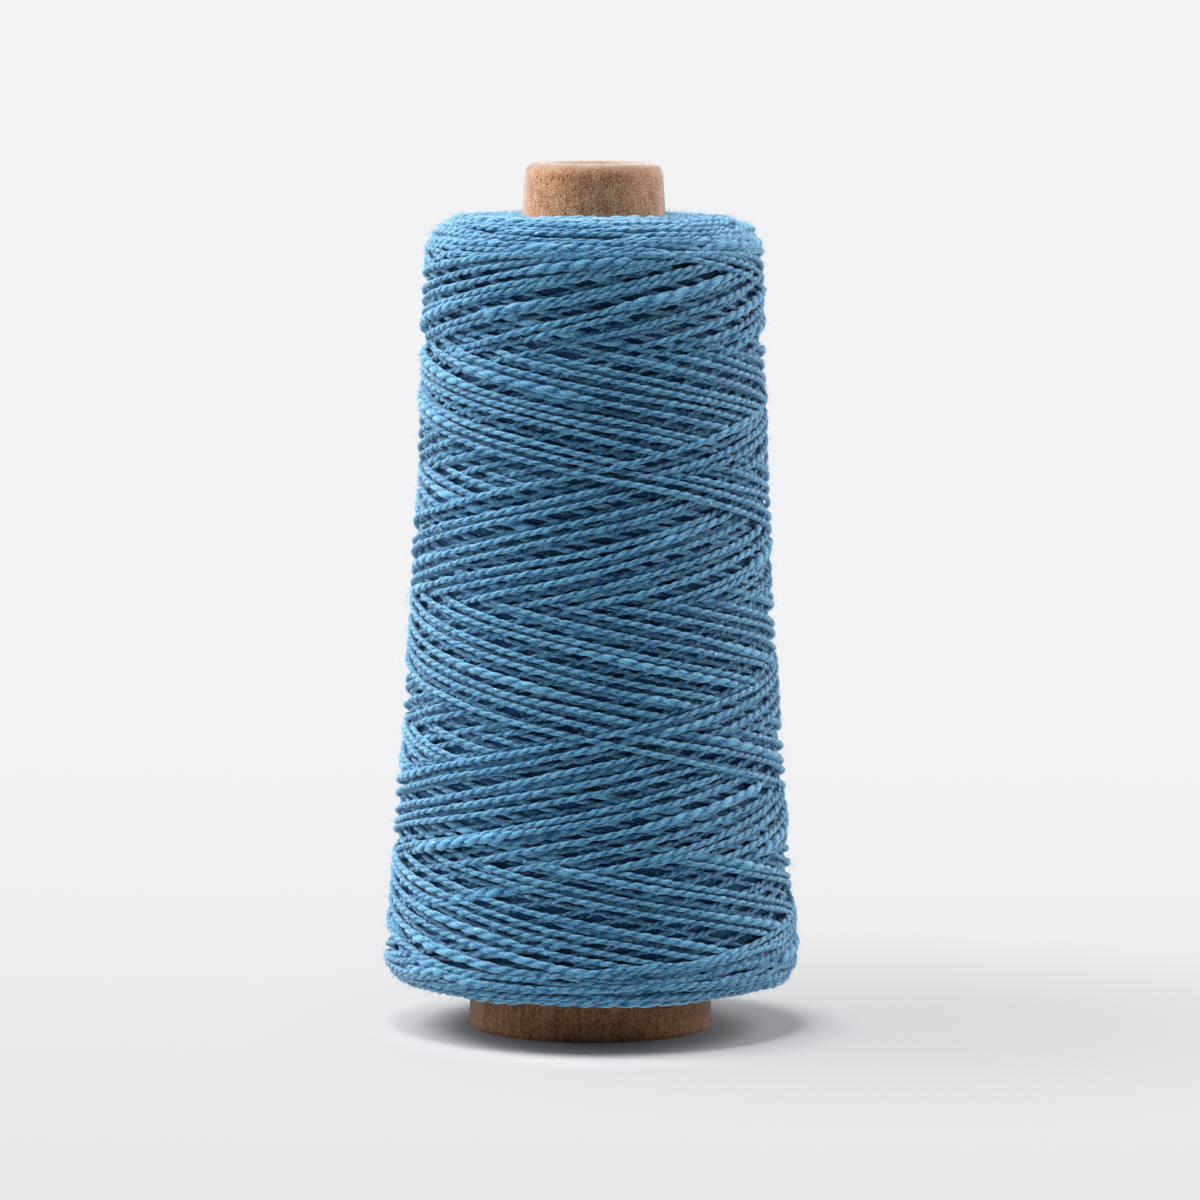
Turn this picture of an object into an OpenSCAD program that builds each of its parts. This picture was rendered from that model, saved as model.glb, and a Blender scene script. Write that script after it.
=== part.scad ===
// Cone of slub yarn: a laminated paper cone with a rolled nose, and the yarn wound on it.
// Millimetres, +Z up. The origin is the centre of the cone's base edge.

/* [Paper cone] */
// Height from the base edge to the top of the rolled nose
cone_height = 170; // [150:5:210]
// Outside diameter at the base edge
base_diameter = 48.2; // [44:0.2:60]
// Half angle of the taper, in degrees
taper_angle = 3.6; // [2:0.1:4.2]
// Thickness of one turn of the paper blank
ply_thickness = 0.5; // [0.3:0.05:0.6]
// Glue between one turn and the next
glue_line = 0.02; // [0.01:0.01:0.05]
// Outside radius of the rolled nose
nose_roll_radius = 2.6; // [2:0.1:3.6]
// Straight collar inside the nose, where the roll ends
collar_length = 3.5; // [2:0.5:10]

/* [Yarn package] */
// Thickness of the yarn
yarn_diameter = 1.3; // [0.8:0.1:1.8]
// Bare cone that shows below the package
bare_base = 9.2; // [4:0.2:20]
// Bare cone that shows above the package
bare_nose = 9; // [4:0.5:20]
// Outside diameter at the foot of the package
foot_diameter = 82.4; // [70:0.2:110]
// Outside diameter at the shoulder of the package
shoulder_diameter = 66.4; // [56:0.2:100]
// How far the flank draws in at its middle, from a straight taper
flank_hollow = 1.2; // [0:0.1:2.5]
// Radius of the rounded foot
foot_radius = 5; // [4.5:0.5:8]
// Radius of the rounded shoulder
shoulder_radius = 6; // [4.5:0.5:10]
// How far the top face rises from the shoulder to the cone
top_rise = 1.6; // [0:0.2:3]
// How far the underside rises from the foot to the cone
underside_rise = 1.4; // [0:0.2:3]
// Clearance between the paper and the first layer of yarn
wrap_clearance = 0.2; // [0.1:0.05:0.3]

/* [Outer winding] */
// Traverses from one end of the package to the other, half of them up
traverses = 8; // [2:2:8]
// Turns round the package in one traverse
turns_per_traverse = 2.9; // [1.9:0.05:2.95]
// Clearance between the turns that go up and the turns that cross them
lay_clearance = 0.5; // [0.45:0.05:0.8]
// Share of a turn in which the yarn turns back at each end
turnback_share = 0.1; // [0.08:0.02:0.14]
// Angle at which the winding starts, from the front, in degrees
start_angle = 180; // [0:15:345]

/* [Hidden] */

paper = "#b08a62";
paper_inside = "#a5825c";
yarn_deep = "#2c5a7d";
yarn_face = "#4e8bb4";

arc_steps = 8;
flank_steps = 12;
round_fn = 96;
rings_per_turn = 24;
tube_sides = 6;
seat_gap = 0.05;
bend_steps = 3;
least_corner = 1;
reach = 4 * nose_roll_radius;

// The cone's outside runs straight from the base edge to the roll, which it meets as a tangent.
base_radius = base_diameter / 2;
roll_height = cone_height - nose_roll_radius;
roll_centre = face_radius(roll_height) - nose_roll_radius / cos(taper_angle);
ply_step = ply_thickness + glue_line;

// The package's outline. Its two corners are quarter circles round the outer lay of yarn.
foot_z = bare_base + foot_radius;
foot_r = foot_diameter / 2;
top_z = cone_height - bare_nose;
shoulder_z = top_z - top_rise - shoulder_radius;
shoulder_r = shoulder_diameter / 2;

// A ring to ring run of the tube is a chord, which dips towards the core by its sagitta.
chord_dip = foot_r * (1 - cos(180 / rings_per_turn));
lay_step = yarn_diameter + lay_clearance;
inner_lay = seat_gap + chord_dip + yarn_diameter / 2;
winding_depth = inner_lay + lay_step + yarn_diameter / 2;

total_turns = traverses * turns_per_traverse;
rise_per_turn = (shoulder_z - foot_z) / (turns_per_traverse - turnback_share);

function face_radius(z) = base_radius - z * tan(taper_angle);
function lean(offset) = offset / cos(taper_angle);
function smooth(x) = sin(90 * min(1, max(-1, x)));

// Radius of the package's flank at a height between the two corners.
function flank_radius(z) =
    let (u = (z - foot_z) / (shoulder_z - foot_z))
    foot_r + (shoulder_r - foot_r) * u - flank_hollow * 4 * u * (1 - u);

// A quarter of the core's outline: it keeps the package's height and gives up the winding's depth.
function core_corner(r, z, radius, from) =
    let (across = max(radius - winding_depth, least_corner))
    [
        for (i = [0:arc_steps])
            let (a = from + 90 * i / arc_steps)
            [r - winding_depth - across * (1 - cos(a)), z + radius * sin(a)]
    ];

// One ply as a band in the r, z plane: up the wall, over the roll and down the collar.
module ply_band(depth) {
    outer = nose_roll_radius - depth;
    inner = outer - ply_thickness;
    tangent = [cos(taper_angle), sin(taper_angle)];
    centre = [roll_centre, roll_height];
    polygon([
        [base_radius - lean(depth + ply_thickness), 0],
        [base_radius - lean(depth), 0],
        centre + outer * tangent,
        centre + inner * tangent
    ]);
    intersection() {
        difference() {
            translate(centre) circle(r = outer, $fn = round_fn);
            translate(centre) circle(r = inner, $fn = round_fn);
        }
        translate(centre) polygon([
            [0, 0], reach * tangent, [reach, reach], [-reach, reach], [-reach, 0]
        ]);
    }
    translate([roll_centre - outer, roll_height - collar_length])
        square([ply_thickness, collar_length]);
}

module ply(number, tint) {
    color(tint) rotate_extrude($fn = round_fn) ply_band(number * ply_step);
}

module outer_ply() {
    ply(0, paper);
}

module middle_ply() {
    ply(1, paper);
}

module inner_ply() {
    ply(2, paper_inside);
}

// The layers under the outer winding, closed round the cone.
module yarn_core() {
    bottom_r = face_radius(bare_base + underside_rise) + lean(wrap_clearance);
    top_r = face_radius(top_z) + lean(wrap_clearance);
    flank = [
        for (i = [1:flank_steps - 1])
            let (z = foot_z + (shoulder_z - foot_z) * i / flank_steps)
            [flank_radius(z) - winding_depth, z]
    ];
    outline = concat(
        [[bottom_r, bare_base + underside_rise]],
        core_corner(foot_r, foot_z, foot_radius, -90),
        flank,
        core_corner(shoulder_r, shoulder_z, shoulder_radius, 0),
        [[top_r, top_z]]
    );
    color(yarn_deep) rotate_extrude($fn = round_fn) polygon(outline);
}

// Height of the winding after a number of turns: a zigzag whose ends are rounded.
function winding_height(turn) =
    let (
        k = floor(turn / turns_per_traverse),
        into = turn - k * turns_per_traverse,
        near = min(into, turns_per_traverse - into),
        eased = near < turnback_share
            ? near * near / (2 * turnback_share)
            : near - turnback_share / 2,
        end = into < turns_per_traverse / 2 ? k : k + 1
    )
    end % 2 == 0 ? foot_z + rise_per_turn * eased : shoulder_z - rise_per_turn * eased;

// 0 where the yarn lies in the lay that goes up, 1 in the lay that comes down over it.
// Both ends are in the outer lay, where an end has room to bend.
function winding_lay(turn) =
    let (
        k = floor(turn / turns_per_traverse + 0.5),
        past = turn - k * turns_per_traverse,
        swap = smooth(past / turnback_share) / 2
    )
    k == 0 ? 1 - 2 * swap : k == traverses ? 1 : k % 2 == 1 ? 0.5 + swap : 0.5 - swap;

function around(r, angle, z) = [r * sin(angle), -r * cos(angle), z];

function winding_point(turn) =
    let (
        z = winding_height(turn),
        r = flank_radius(z) - winding_depth + inner_lay + lay_step * winding_lay(turn)
    )
    around(r, start_angle + 360 * turn, z);

// An end of the winding: out of the core square to it for one diameter, then round into the turns.
function winding_end(turn, way) =
    let (
        z = winding_height(turn),
        angle = start_angle + 360 * turn,
        skin = flank_radius(z) - winding_depth + seat_gap,
        bend = yarn_diameter,
        radial = [sin(angle), -cos(angle), 0],
        along = way * [cos(angle), sin(angle), 0],
        foot = around(skin, angle, z)
    )
    [
        foot,
        for (i = [0:bend_steps])
            let (a = 90 * i / bend_steps)
            foot + radial * (yarn_diameter + bend * sin(a)) + along * bend * (1 - cos(a))
    ];

function reversed(list) = [for (i = [len(list) - 1:-1:0]) list[i]];

winding_path = concat(
    winding_end(0, 1),
    [for (i = [1:total_turns * rings_per_turn - 1]) winding_point(i / rings_per_turn)],
    reversed(winding_end(total_turns, -1))
);

function unit(v) = v / norm(v);

// Rings of the tube, each square to the path, and flat end caps.
function ring(path, i, radius, sides) =
    let (
        last = len(path) - 1,
        into = unit(path[max(i, 1)] - path[max(i, 1) - 1]),
        out = unit(path[min(i, last - 1) + 1] - path[min(i, last - 1)]),
        along = unit(into + out),
        side = unit(cross(along, [0, 0, 1])),
        up = cross(side, along)
    )
    [
        for (k = [0:sides - 1])
            let (a = 360 * k / sides)
            path[i] + radius * (side * cos(a) + up * sin(a))
    ];

module tube(path, radius, sides) {
    rings = len(path);
    points = [for (i = [0:rings - 1]) each ring(path, i, radius, sides)];
    walls = [
        for (i = [0:rings - 2], k = [0:sides - 1])
            let (
                a = i * sides + k,
                b = i * sides + (k + 1) % sides
            )
            each [[a, a + sides, b + sides], [a, b + sides, b]]
    ];
    first_cap = [for (k = [1:sides - 2]) [0, k, k + 1]];
    last = (rings - 1) * sides;
    last_cap = [for (k = [1:sides - 2]) [last, last + k + 1, last + k]];
    polyhedron(points = points, faces = concat(walls, first_cap, last_cap));
}

module outer_winding() {
    color(yarn_face) tube(winding_path, yarn_diameter / 2, tube_sides);
}

// Least distance between two straight runs of the path: p to q and r to s.
function share(x) = min(1, max(0, x));
function run_distance(p, q, r, s) =
    let (
        u = q - p,
        v = s - r,
        w = p - r,
        spread = (u * u) * (v * v) - (u * v) * (u * v),
        first = spread < parallel ? 0 : share(((u * v) * (v * w) - (v * v) * (u * w)) / spread),
        second = share((first * (u * v) + v * w) / (v * v)),
        nearest = share((second * (u * v) - u * w) / (u * u))
    )
    norm(w + nearest * u - second * v);

// Runs half a turn apart or more are measured, where they pass within two diameters.
parallel = 0.000001;
runs = len(winding_path) - 1;
run_length = 2 * PI * foot_r / rings_per_turn;
window = 2 * (yarn_diameter + run_length);
function winding_gap() = min([
    for (i = [0:runs - 1], j = [i + rings_per_turn / 2:1:runs - 1])
        if (norm(winding_path[i] - winding_path[j]) < window)
            run_distance(winding_path[i], winding_path[i + 1], winding_path[j], winding_path[j + 1])
]) - yarn_diameter;

union() {
    echo(str("Turns in the outer winding: ", total_turns));
    echo(str("Least gap of the outer winding to itself, mm: ", winding_gap()));
}

inner_ply();
middle_ply();
outer_ply();
yarn_core();
outer_winding();
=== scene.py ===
"""Looks of a cone of slub cotton yarn: a paper winding cone, its wound yarn and a plain studio."""

import math

import bpy
import numpy as np
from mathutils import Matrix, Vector


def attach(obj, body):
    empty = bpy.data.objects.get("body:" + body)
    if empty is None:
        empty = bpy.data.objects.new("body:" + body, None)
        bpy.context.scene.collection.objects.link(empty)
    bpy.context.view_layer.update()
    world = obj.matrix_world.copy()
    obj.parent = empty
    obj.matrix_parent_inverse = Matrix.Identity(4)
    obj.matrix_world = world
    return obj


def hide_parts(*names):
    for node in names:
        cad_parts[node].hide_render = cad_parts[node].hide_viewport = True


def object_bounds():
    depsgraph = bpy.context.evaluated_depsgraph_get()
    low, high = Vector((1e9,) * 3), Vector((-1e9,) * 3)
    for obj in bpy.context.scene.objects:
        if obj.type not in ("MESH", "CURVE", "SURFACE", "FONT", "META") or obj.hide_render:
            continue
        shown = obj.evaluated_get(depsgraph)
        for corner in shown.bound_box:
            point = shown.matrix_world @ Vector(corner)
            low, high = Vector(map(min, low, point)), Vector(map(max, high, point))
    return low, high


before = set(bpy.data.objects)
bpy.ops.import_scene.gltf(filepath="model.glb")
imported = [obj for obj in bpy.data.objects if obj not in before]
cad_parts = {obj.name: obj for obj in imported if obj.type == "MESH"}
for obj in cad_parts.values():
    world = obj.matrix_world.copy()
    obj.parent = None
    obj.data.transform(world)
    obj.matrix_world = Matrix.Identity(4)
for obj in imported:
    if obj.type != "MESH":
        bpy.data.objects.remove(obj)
CAD_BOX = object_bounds()
MM = 0.001


# ---------------------------------------------------------------------------
# Paper cone
# Three turns of kraft paperboard rolled and glued to a straight taper. The nose is rolled inwards and
# sanded, so its rim is a greyer felt and partly a painted highlight; the base is cut square and left brown,
# darker at the floor.
# ---------------------------------------------------------------------------

CONE_TOP = CAD_BOX[1][2]
STREAKS_FADE = (CONE_TOP - 20 * MM, CONE_TOP - 5 * MM)
# between these heights the rim is sanded to a greyer felt, drawn partly as a painted highlight
RIM_SANDED_AND_LIT = (CONE_TOP - 2.4 * MM, CONE_TOP - 0.6 * MM)
# the base is drawn darker over this height up from the floor
FOOT_DARKENED = 1.2 * MM
KRAFT_FACE = "9e6d48"
KRAFT_SHADE = "62361e"
KRAFT_FIBRE = "c8a07c"
KRAFT_FLECK = "3f2a1f"
# the sanded rim's colour, partly a painted highlight
RIM_FELT_AND_HIGHLIGHT = "786a5d"
PULP_FUZZ = "d4e2ea"


def linear(code):
    """An sRGB hex colour as a linear one."""
    parts = [int(code[i : i + 2], 16) / 255 for i in (0, 2, 4)]
    out = [p / 12.92 if p <= 0.04045 else ((p + 0.055) / 1.055) ** 2.4 for p in parts]
    return (*out, 1.0)


def new_material(name):
    """An empty material and its node tree."""
    made = bpy.data.materials.new(name)
    made.use_nodes = True
    made.node_tree.nodes.clear()
    return made, made.node_tree


def add(tree, kind, settings=None, **links):
    """One node with its settings, among them a ramp's stops as rising (place, colour) pairs. An
    input is named, or i0, i1 ... by its place. It takes a value, another node's socket, or a
    node, which gives its first output."""
    node = tree.nodes.new(kind)
    settings = dict(settings or {})
    for n, (place, colour) in enumerate(settings.pop("stops", ())):
        points = node.color_ramp.elements
        point = points[n] if n < 2 else points.new(place)
        point.position = place
        point.color = colour
    for key, value in settings.items():
        setattr(node, key, value)
    for key, value in links.items():
        by_place = key[0] == "i" and key[1:].isdigit()
        slot = node.inputs[int(key[1:])] if by_place else node.inputs[key.replace("_", " ")]
        if isinstance(value, bpy.types.Node):
            value = value.outputs[0]
        if isinstance(value, bpy.types.NodeSocket):
            tree.links.new(value, slot)
        else:
            slot.default_value = value
    return node


def kraft_material():
    """Kraft paperboard: unbleached brown pulp, dull and flecked, its sanded nose a greyer felt with a
    painted highlight.
    """
    made, tree = new_material("kraft_paperboard_sanded")
    place = add(tree, "ShaderNodeTexCoord").outputs["Object"]
    height = add(tree, "ShaderNodeSeparateXYZ", Vector=place).outputs["Z"]
    upright = add(tree, "ShaderNodeMapping", Vector=place, Scale=(1.0, 1.0, 0.14))
    # a scale is one over a size in metres: felt 0.3 mm, cloud 3 mm, flecks 0.7 mm, and grain
    # 0.6 mm wide by 4 mm tall
    felt = add(tree, "ShaderNodeTexNoise", Vector=place, Scale=3300.0, Detail=2.0, Roughness=0.7)
    cloud = add(tree, "ShaderNodeTexNoise", Vector=place, Scale=330.0, Detail=3.0)
    grain = add(tree, "ShaderNodeTexNoise", Vector=upright, Scale=1700.0, Detail=3.0)
    fleck = add(tree, "ShaderNodeTexNoise", Vector=place, Scale=1400.0, Detail=1.0, Distortion=0.8)
    # upright streaks show a little less on the nose, which is sanded
    streaked = add(tree, "ShaderNodeMapRange", Value=height, From_Min=STREAKS_FADE[0],
                   From_Max=STREAKS_FADE[1], To_Min=0.22, To_Max=0.15)
    body = add(tree, "ShaderNodeMix", {"data_type": "FLOAT"}, i0=streaked, i2=felt, i3=grain)
    body = add(tree, "ShaderNodeMix", {"data_type": "FLOAT"}, i0=0.2, i2=body, i3=cloud)
    stops = ((0.38, linear(KRAFT_SHADE)), (0.50, linear(KRAFT_FACE)), (0.63, linear(KRAFT_FIBRE)))
    brown = add(tree, "ShaderNodeValToRGB", {"stops": stops}, Fac=body)
    dark = add(tree, "ShaderNodeMapRange", Value=fleck, From_Min=0.66, From_Max=0.74, To_Max=0.8)
    flecked = add(tree, "ShaderNodeMix", {"data_type": "RGBA"}, i0=dark, i6=brown,
                  i7=linear(KRAFT_FLECK))
    # the rolled rim is sanded to a greyer felt, and this band is also a painted highlight; the base is drawn
    # darker over its last mm at the floor
    rim = add(tree, "ShaderNodeMapRange", {"interpolation_type": "SMOOTHSTEP"}, Value=height,
              From_Min=RIM_SANDED_AND_LIT[0], From_Max=RIM_SANDED_AND_LIT[1], To_Max=0.6)
    rubbed = add(tree, "ShaderNodeMix", {"data_type": "RGBA"}, i0=rim, i6=flecked.outputs[2],
                 i7=linear(RIM_FELT_AND_HIGHLIGHT))
    # the base is drawn darker over its last mm towards the floor
    foot = add(tree, "ShaderNodeMapRange", {"interpolation_type": "SMOOTHSTEP"}, Value=height,
               From_Min=0.0, From_Max=FOOT_DARKENED, To_Min=0.6, To_Max=0.0)
    edged = add(tree, "ShaderNodeMix", {"data_type": "RGBA"}, i0=foot, i6=rubbed.outputs[2],
                i7=linear(KRAFT_FLECK))
    bump = add(tree, "ShaderNodeBump", Height=body, Strength=0.7, Distance=0.2 * MM)
    shader = add(tree, "ShaderNodeBsdfPrincipled", Base_Color=edged.outputs[2], Roughness=0.9,
                 Normal=bump, Sheen_Weight=0.9, Sheen_Roughness=0.35, Sheen_Tint=linear(PULP_FUZZ),
                 Specular_IOR_Level=0.3)
    add(tree, "ShaderNodeOutputMaterial", Surface=shader)
    return made


kraft = kraft_material()
for node in ("inner_ply", "middle_ply", "outer_ply"):
    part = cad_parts[node]
    part.data.materials.clear()
    part.data.materials.append(kraft)


# ---------------------------------------------------------------------------
# Wound body
# The yarn of all the older layers, packed right down to the cone and seen only as shaded blue
# between the strands over it. Its outline is the package's own, one or two strands further in.
# ---------------------------------------------------------------------------

# the package's outline in mm: its corners are arcs round these centres, as (radius, height)
YARN_RADIUS = 0.68
FOOT_CENTRE = (36.2, 14.15)
FOOT_CORNER = 5.0
SHOULDER_CENTRE = (24.6, 150.9)
SHOULDER_CORNER = 9.0
FLANK_HOLLOW = 1.2
# how deep the body lies under the outer strands, how much more on the flank, where two lays
# cover it, and between which places that sets in and ends
BODY_DEPTH = 0.8
FLANK_DEPTH = 1.3
FLANK_FROM = (10.0, 17.0)
FLANK_TO = (152.0, 158.0)
# first and last place along the outline and how many there are, and the radius of the paper
BODY_PLACES = (-6.8, 175.0, 160)
PAPER_AT_FOOT = 23.4
PAPER_AT_NOSE = 13.9
BODY_SIDES = 128
COTTON_FUZZ = "c8dce8"


def smoothstep(x, low, high):
    """0 below low, 1 above high, and smooth between them."""
    x = np.clip((x - low) / (high - low), 0.0, 1.0)
    return x * x * (3 - 2 * x)


def outline(q, depth):
    """Radius, height and outward normal of a strand's centre from its place along the outline
    of the package: q is the height on the flank, and carries on round the two corners."""
    foot_r, foot_z = FOOT_CENTRE
    top_r, top_z = SHOULDER_CENTRE
    u = np.clip((q - foot_z) / (top_z - foot_z), 0.0, 1.0)
    flank = foot_r + FOOT_CORNER + (top_r + SHOULDER_CORNER - foot_r - FOOT_CORNER) * u
    flank = flank - FLANK_HOLLOW * 4 * u * (1 - u)
    inset = YARN_RADIUS + depth
    low = np.clip((foot_z - q) / FOOT_CORNER, 0.0, math.pi / 2)
    high = np.clip((q - top_z) / SHOULDER_CORNER, 0.0, math.pi / 2)
    r = flank - inset - (FOOT_CORNER - inset) * (1 - np.cos(low))
    r = r - (SHOULDER_CORNER - inset) * (1 - np.cos(high))
    z = np.clip(q, foot_z, top_z) - (FOOT_CORNER - inset) * np.sin(low)
    z = z + (SHOULDER_CORNER - inset) * np.sin(high)
    under_face = np.clip(foot_z - FOOT_CORNER * math.pi / 2 - q, 0.0, None)
    top_face = np.clip(q - top_z - SHOULDER_CORNER * math.pi / 2, 0.0, None)
    return r - under_face - top_face, z, np.cos(low) * np.cos(high), np.sin(high) - np.sin(low)


def yarn_material(name, pale, deep, speck, sheen):
    """Dyed cotton: matt, soft fibres that lie along the ply, with lighter and darker streaks."""
    made, tree = new_material(name)
    fibre = add(tree, "ShaderNodeAttribute", {"attribute_name": "fibre"}).outputs["Vector"]
    crest = add(tree, "ShaderNodeAttribute", {"attribute_name": "crest"}).outputs["Fac"]
    place = add(tree, "ShaderNodeTexCoord").outputs["Object"]
    # streaks are about 2 mm long and 0.4 of a ply's radius wide; the other scales are one over a
    # size in metres: dye 4 mm, grain 0.3 mm, neps 1 mm
    lengthwise = add(tree, "ShaderNodeMapping", Vector=fibre, Scale=(0.35, 1.5, 1.5))
    streak = add(tree, "ShaderNodeTexNoise", Vector=lengthwise, Scale=1.6, Detail=3.0, Roughness=0.7)
    dye = add(tree, "ShaderNodeTexNoise", Vector=place, Scale=260.0, Detail=2.0)
    grain = add(tree, "ShaderNodeTexNoise", Vector=place, Scale=3600.0, Detail=1.0)
    nep = add(tree, "ShaderNodeTexNoise", Vector=place, Scale=900.0, Detail=0.0)
    mixed = add(tree, "ShaderNodeMix", {"data_type": "FLOAT"}, i0=0.2, i2=streak, i3=dye)
    mixed = add(tree, "ShaderNodeMix", {"data_type": "FLOAT"}, i0=0.25, i2=mixed, i3=grain)
    # painted shade and highlight: the cleft between two plies is drawn darker and a deeper blue, and the
    # crests of the plies a little lighter
    height = add(tree, "ShaderNodeMapRange", Value=crest, From_Min=-0.4, From_Max=0.9, To_Min=-0.115,
                 To_Max=0.04)
    tone = add(tree, "ShaderNodeMath", {"operation": "ADD"}, i0=mixed, i1=height)
    stops = ((0.385, linear(deep)), (0.565, linear(pale)))
    colour = add(tree, "ShaderNodeValToRGB", {"stops": stops}, Fac=tone)
    spot = add(tree, "ShaderNodeMapRange", Value=nep, From_Min=0.872, From_Max=0.885)
    whole = add(tree, "ShaderNodeMix", {"data_type": "RGBA"}, i0=spot, i6=colour, i7=linear(speck))
    bump = add(tree, "ShaderNodeBump", Height=mixed, Strength=1.0, Distance=0.3 * MM)
    shader = add(tree, "ShaderNodeBsdfPrincipled", Base_Color=whole.outputs[2], Roughness=0.85,
                 Normal=bump, Sheen_Weight=sheen, Sheen_Roughness=0.4, Sheen_Tint=linear(COTTON_FUZZ),
                 Diffuse_Roughness=0.8, Specular_IOR_Level=0.25)
    add(tree, "ShaderNodeOutputMaterial", Surface=shader)
    return made


def mesh_object(name, vertices, faces, material):
    """A smooth mesh object at the origin, its points in metres."""
    mesh = bpy.data.meshes.new(name)
    mesh.from_pydata(vertices, [], faces)
    mesh.update()
    mesh.materials.append(material)
    mesh.shade_smooth()
    made = bpy.data.objects.new(name, mesh)
    bpy.context.collection.objects.link(made)
    return made


def spun(name, section, around, material):
    """A closed ring of section points (radius, height in mm) turned round the axis."""
    section = np.array(section)
    angle = np.linspace(0, 2 * math.pi, around, endpoint=False)
    r, z = section[:, :1], section[:, 1:]
    points = np.stack(np.broadcast_arrays(r * np.sin(angle), -r * np.cos(angle), z), 2) * MM
    count = len(section)
    faces = []
    for i in range(count):
        for j in range(around):
            k = (j + 1) % around
            n = (i + 1) % count
            faces.append((i * around + j, i * around + k, n * around + k, n * around + j))
    return mesh_object(name, points.reshape(-1, 3).tolist(), faces, material)


# drawn darker than the strands, for the shade between its own strands, which aren't modelled
packed_cotton = yarn_material("slub_cotton_packed", pale="5296bb", deep="064577", speck="8fb4c8",
                              sheen=0.3)
q = np.linspace(*BODY_PLACES)
flank_cover = smoothstep(q, *FLANK_FROM) * (1 - smoothstep(q, *FLANK_TO))
r, z, _, _ = outline(q, FLANK_DEPTH * flank_cover + BODY_DEPTH)
section = [(PAPER_AT_FOOT, z[0])] + list(zip(r, z)) + [(PAPER_AT_NOSE, z[-1])]
body = spun("wound_body", section, BODY_SIDES, packed_cotton)
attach(body, "root")
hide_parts("yarn_core")


# ---------------------------------------------------------------------------
# Wound yarn
# Two-ply slub cotton, cross-wound in about three turns up and three turns down the cone. Every
# double traverse starts a little behind the last, so the strands lie side by side in a lattice
# whose crossings climb the package. The yarn is held by its own tension and has no free end.
# ---------------------------------------------------------------------------

# the winding: turns in a double traverse, climb in a turn, and double traverses until the
# lattice comes round to where it was
TURNS = 5.946
LEAD = 50.49
CYCLE = 1 / (6 - TURNS)
FIRST_ANGLE = -12.0
TURN_STEP = 1 / 960
# heights where the two legs of a turn-back would cross, how many turns the yarn trails the guide,
# and how far past the middle of the double traverse its peak comes
FOOT_CROSSING = 11.4
SHOULDER_CROSSING = 159.75
FOOT_LAG = 43 / 360
SHOULDER_LAG = 55 / 360
SHOULDER_PEAK = 42.3 / 360
# the falling leg makes up this height between these turns past the middle, and the shoulder's
# rule gives way to the foot's over this share of a leg
LEG_MAKE_UP = 3.53
MAKE_UP_TURNS = (0.3, 1.1)
GIVE_WAY = (0.4, 0.6)
# the turn-backs are uneven, and those of older cycles spread further out: the reach is from the
# middle of the package, and the share of it is where this sets in
MIDDLE = 85.0
END_REACH = 75.0
END_SHARE = (0.75, 1.0)
UNEVEN = 0.6
WIDEN = 3.2
WIDEN_TOP, WIDEN_FOOT = 0.8, -1.0
# the newest leg climbs late: mm for each degree past a start, and the most
LATE_START = 30
LATE_CLIMB = 0.085
LATE_MOST = 4.0
# depths under the skin: one layer, what each older cycle adds to it, and the newest leg's
LAYER = 1.0
CYCLE_STEP = 1.15
CYCLE_DRIFT = 0.4
NEWEST_DEPTH = -0.3
# in double traverses: the first strand that can cross over a rising and a falling leg, and over
# how many a strand dives under it and comes up again
FIRST_OVER = (-0.9, 0.1)
DIVE = (-0.4, 0.4)
DIVE_OUT = (0.0, 0.8)
# older cycles are covered between these places
COVERED_FROM = (13.5, 18.5)
COVERED_TO = (151.0, 156.0)
# slow waves of the path, up and outwards, as (mm high, mm long, draw)
WAVES_UP = ((0.25, 15.0, 10), (0.45, 43.0, 11), (0.85, 170.0, 13))
WAVE_OUT = (0.12, 8.0, 12)
# mm of yarn in a turn of the plies and how many more in a slub, and how thick a strand is, and
# how much thicker in a slub, as a share of the plies' own size
TWIST_PITCH = 5.0
SLUB_PITCH = 3.6
THIN_SIZE = 0.92
SLUB_SIZE = 0.72
# how both wander, as (amount, mm long, draw)
PITCH_WAVES = ((0.6, 30.0, 3), (0.7, 8.0, 4))
SIZE_WAVES = ((0.10, 4.0, 1), (0.10, 19.0, 2))
# slubs, in mm along the yarn: where the first comes, half their length, from one to the next
FIRST_SLUB = (0, 200)
HALF_SLUB = (9, 26)
NEXT_SLUB = (60, 340)
SLUB_STRENGTH = (0.3, 1.0)
# Ply Radius and Ply Offset in mm, Fibre Twist in radians a mm, the others as shares
PLY_SHAPE = {"Ply Radius": 0.39, "Ply Offset": 0.235, "Flattening": 0.12, "Fibre Twist": -0.55,
             "Swell": 0.13, "Roughness": 0.09}
LUMP_HEIGHT = 4 * MM
# what the path's points carry, and what is marked on the plies
PATH_POINTS = {"outward": "FLOAT_VECTOR", "phase": "FLOAT", "size": "FLOAT", "along": "FLOAT"}
SKIN_POINTS = {"around": "FLOAT", "fibre": "FLOAT_VECTOR", "heart": "FLOAT_VECTOR",
               "cross_way": "FLOAT_VECTOR", "crest_way": "FLOAT_VECTOR"}
# the flattened skin: how wide a cell is for its height, and the margin of a row in cells
COLUMN_SHARE = 0.65
ROW_MARGIN = 0.15
# double traverses in each lay, 0 being the newest whole one, and mm of yarn from ring to ring
OUTER_TRAVERSES = (-18, 0)
UNDER_TRAVERSES = (-37, -19)
SPARE_TURNS = 0.55
OUTER_STEP = 0.85
UNDER_STEP = 1.6
OUTER_SEED = 7
UNDER_SEED = 57


def turn_back(x, lag):
    """How far the yarn is from the point where its two legs would cross, x turns after the guide
    turned round: it trails the guide, so it arrives straight and leaves slowly."""
    after = LEAD * (x - lag + 2 * lag * np.exp(-np.clip(x, 0, None) / lag))
    before = LEAD * (lag - x)
    return np.where(x < 0, before, after)


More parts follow.
